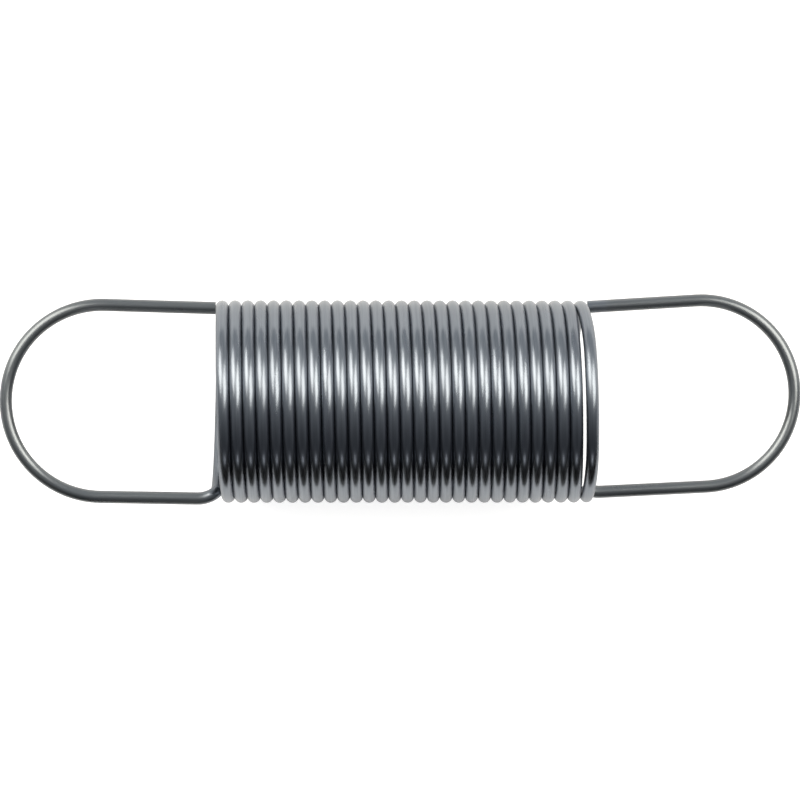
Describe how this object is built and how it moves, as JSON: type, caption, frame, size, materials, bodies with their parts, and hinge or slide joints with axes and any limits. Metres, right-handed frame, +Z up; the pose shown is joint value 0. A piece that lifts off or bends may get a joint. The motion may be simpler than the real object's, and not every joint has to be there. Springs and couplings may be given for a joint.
{
  "type": "extension spring",
  "caption": "Close-wound extension spring of round wire with a long side loop at each end, for pulling two hooked parts together.",
  "frame": {"origin": "on the surface that the spring lies on, under the middle of its coil", "axes": "+X along the coil's axis, +Y across the loops, +Z up from the surface"},
  "size_m": [0.0799, 0.021, 0.02],
  "materials": {
    "spring_steel": "semi-gloss drawn wire, dark bright"
  },
  "bodies": {
    "root": {"spring_wire": "spring_steel"}
  },
  "joints": []
}
